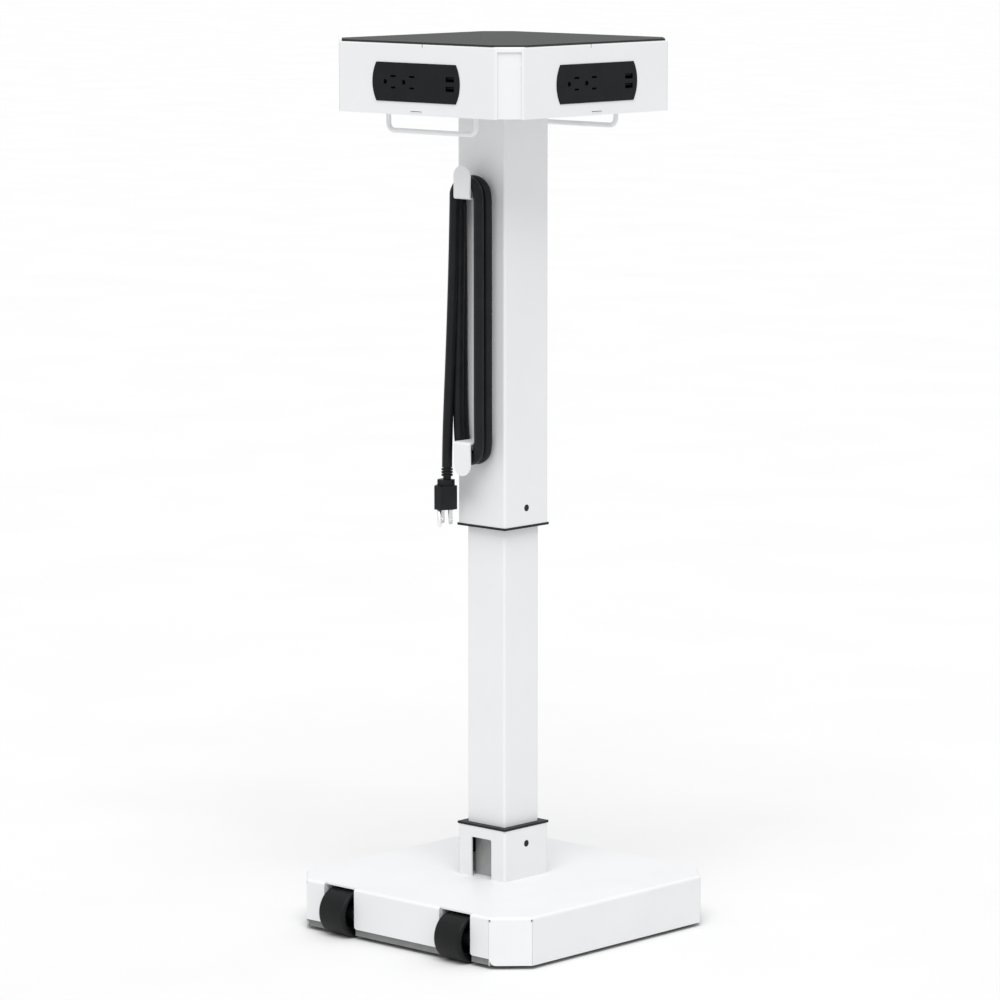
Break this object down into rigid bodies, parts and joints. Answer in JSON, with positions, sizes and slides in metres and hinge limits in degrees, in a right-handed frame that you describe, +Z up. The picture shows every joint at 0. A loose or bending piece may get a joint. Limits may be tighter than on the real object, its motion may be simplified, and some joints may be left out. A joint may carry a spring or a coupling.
{
  "type": "mobile power tower",
  "caption": "Free-standing height-adjustable power tower: weighted square base with wheels, telescopic square column with wrapped cord, square head with power modules and bag hooks.",
  "frame": {"origin": "on the floor, at the bottom centre of the object's box without its cord; the column's axis is 7.6 mm behind it", "axes": "+Z up along the column, -Y towards the side with the wheels, the cord bracket and the collar's window"},
  "size_m": [0.356, 0.3706, 1.0231],
  "materials": {
    "white_powder_coat": "fine satin powder coat",
    "hook_coat": "satin white coated wire",
    "dark_steel": "black primed steel",
    "grey_steel": "grey coated steel",
    "zinc_steel": "zinc plated",
    "black_nylon": "matte moulded",
    "tyre_rubber": "matte rubber",
    "foot_rubber": "matte rubber",
    "black_lid": "fine matte laminate",
    "grey_plastic": "matte moulded",
    "cord_jacket": "satin flexible jacket",
    "prong_metal": "nickel plated",
    "module_black": "fine textured",
    "contact_brass": "stamped",
    "usb_black": "matte moulded"
  },
  "bodies": {
    "base": {"base_cover": "white_powder_coat", "ballast_plate": "dark_steel", "base_feet": "foot_rubber", "wheel_bracket_left": "white_powder_coat", "wheel_bracket_right": "white_powder_coat", "wheel_axle_left": "zinc_steel", "wheel_axle_right": "zinc_steel", "collar": "white_powder_coat", "column_post": "grey_steel", "post_screws": "zinc_steel", "post_spacers": "black_nylon", "lower_bushing": "black_nylon", "middle_tube": "white_powder_coat", "middle_tube_glides": "black_nylon", "gas_spring_cylinder": "dark_steel"},
    "wheel_left": {"wheel_left_tyre": "tyre_rubber", "wheel_left_hub": "black_nylon", "wheel_left_bush": "black_nylon"},
    "wheel_right": {"wheel_right_tyre": "tyre_rubber", "wheel_right_hub": "black_nylon", "wheel_right_bush": "black_nylon"},
    "upper_column": {"outer_tube": "white_powder_coat", "upper_bushing": "black_nylon", "hanger_plate": "dark_steel", "hanger_screws": "zinc_steel", "head_shell": "white_powder_coat", "head_corner_panels": "white_powder_coat", "head_floor": "white_powder_coat", "lid_panel": "black_lid", "lid_screws": "zinc_steel", "bag_hook_front": "hook_coat", "bag_hook_rear": "hook_coat", "hook_nuts": "zinc_steel", "junction_box": "grey_plastic", "wire_harness": "cord_jacket", "gas_spring_rod": "zinc_steel", "cord_bracket": "white_powder_coat", "bracket_screws": "zinc_steel", "cable_gland": "black_nylon", "cord_hank": "cord_jacket", "cord_tail": "cord_jacket", "plug_body": "cord_jacket", "plug_prongs": "prong_metal", "module_front_face": "module_black", "module_front_body": "module_black", "module_front_contacts": "contact_brass", "module_front_usb": "usb_black", "module_right_face": "module_black", "module_right_body": "module_black", "module_right_contacts": "contact_brass", "module_right_usb": "usb_black", "module_rear_face": "module_black", "module_rear_body": "module_black", "module_rear_contacts": "contact_brass", "module_rear_usb": "usb_black", "module_left_face": "module_black", "module_left_body": "module_black", "module_left_contacts": "contact_brass", "module_left_usb": "usb_black"}
  },
  "joints": [
    {"name": "column_lift", "type": "slide", "parent": "base", "child": "upper_column", "axis": [0, 0, 1], "range_m": [-0.34, 0]},
    {"name": "wheel_left_spin", "type": "hinge", "parent": "base", "child": "wheel_left", "pos_m": [-0.091, -0.1574, 0.0276], "axis": [1, 0, 0], "continuous": true},
    {"name": "wheel_right_spin", "type": "hinge", "parent": "base", "child": "wheel_right", "pos_m": [0.091, -0.1574, 0.0276], "axis": [1, 0, 0], "continuous": true}
  ]
}
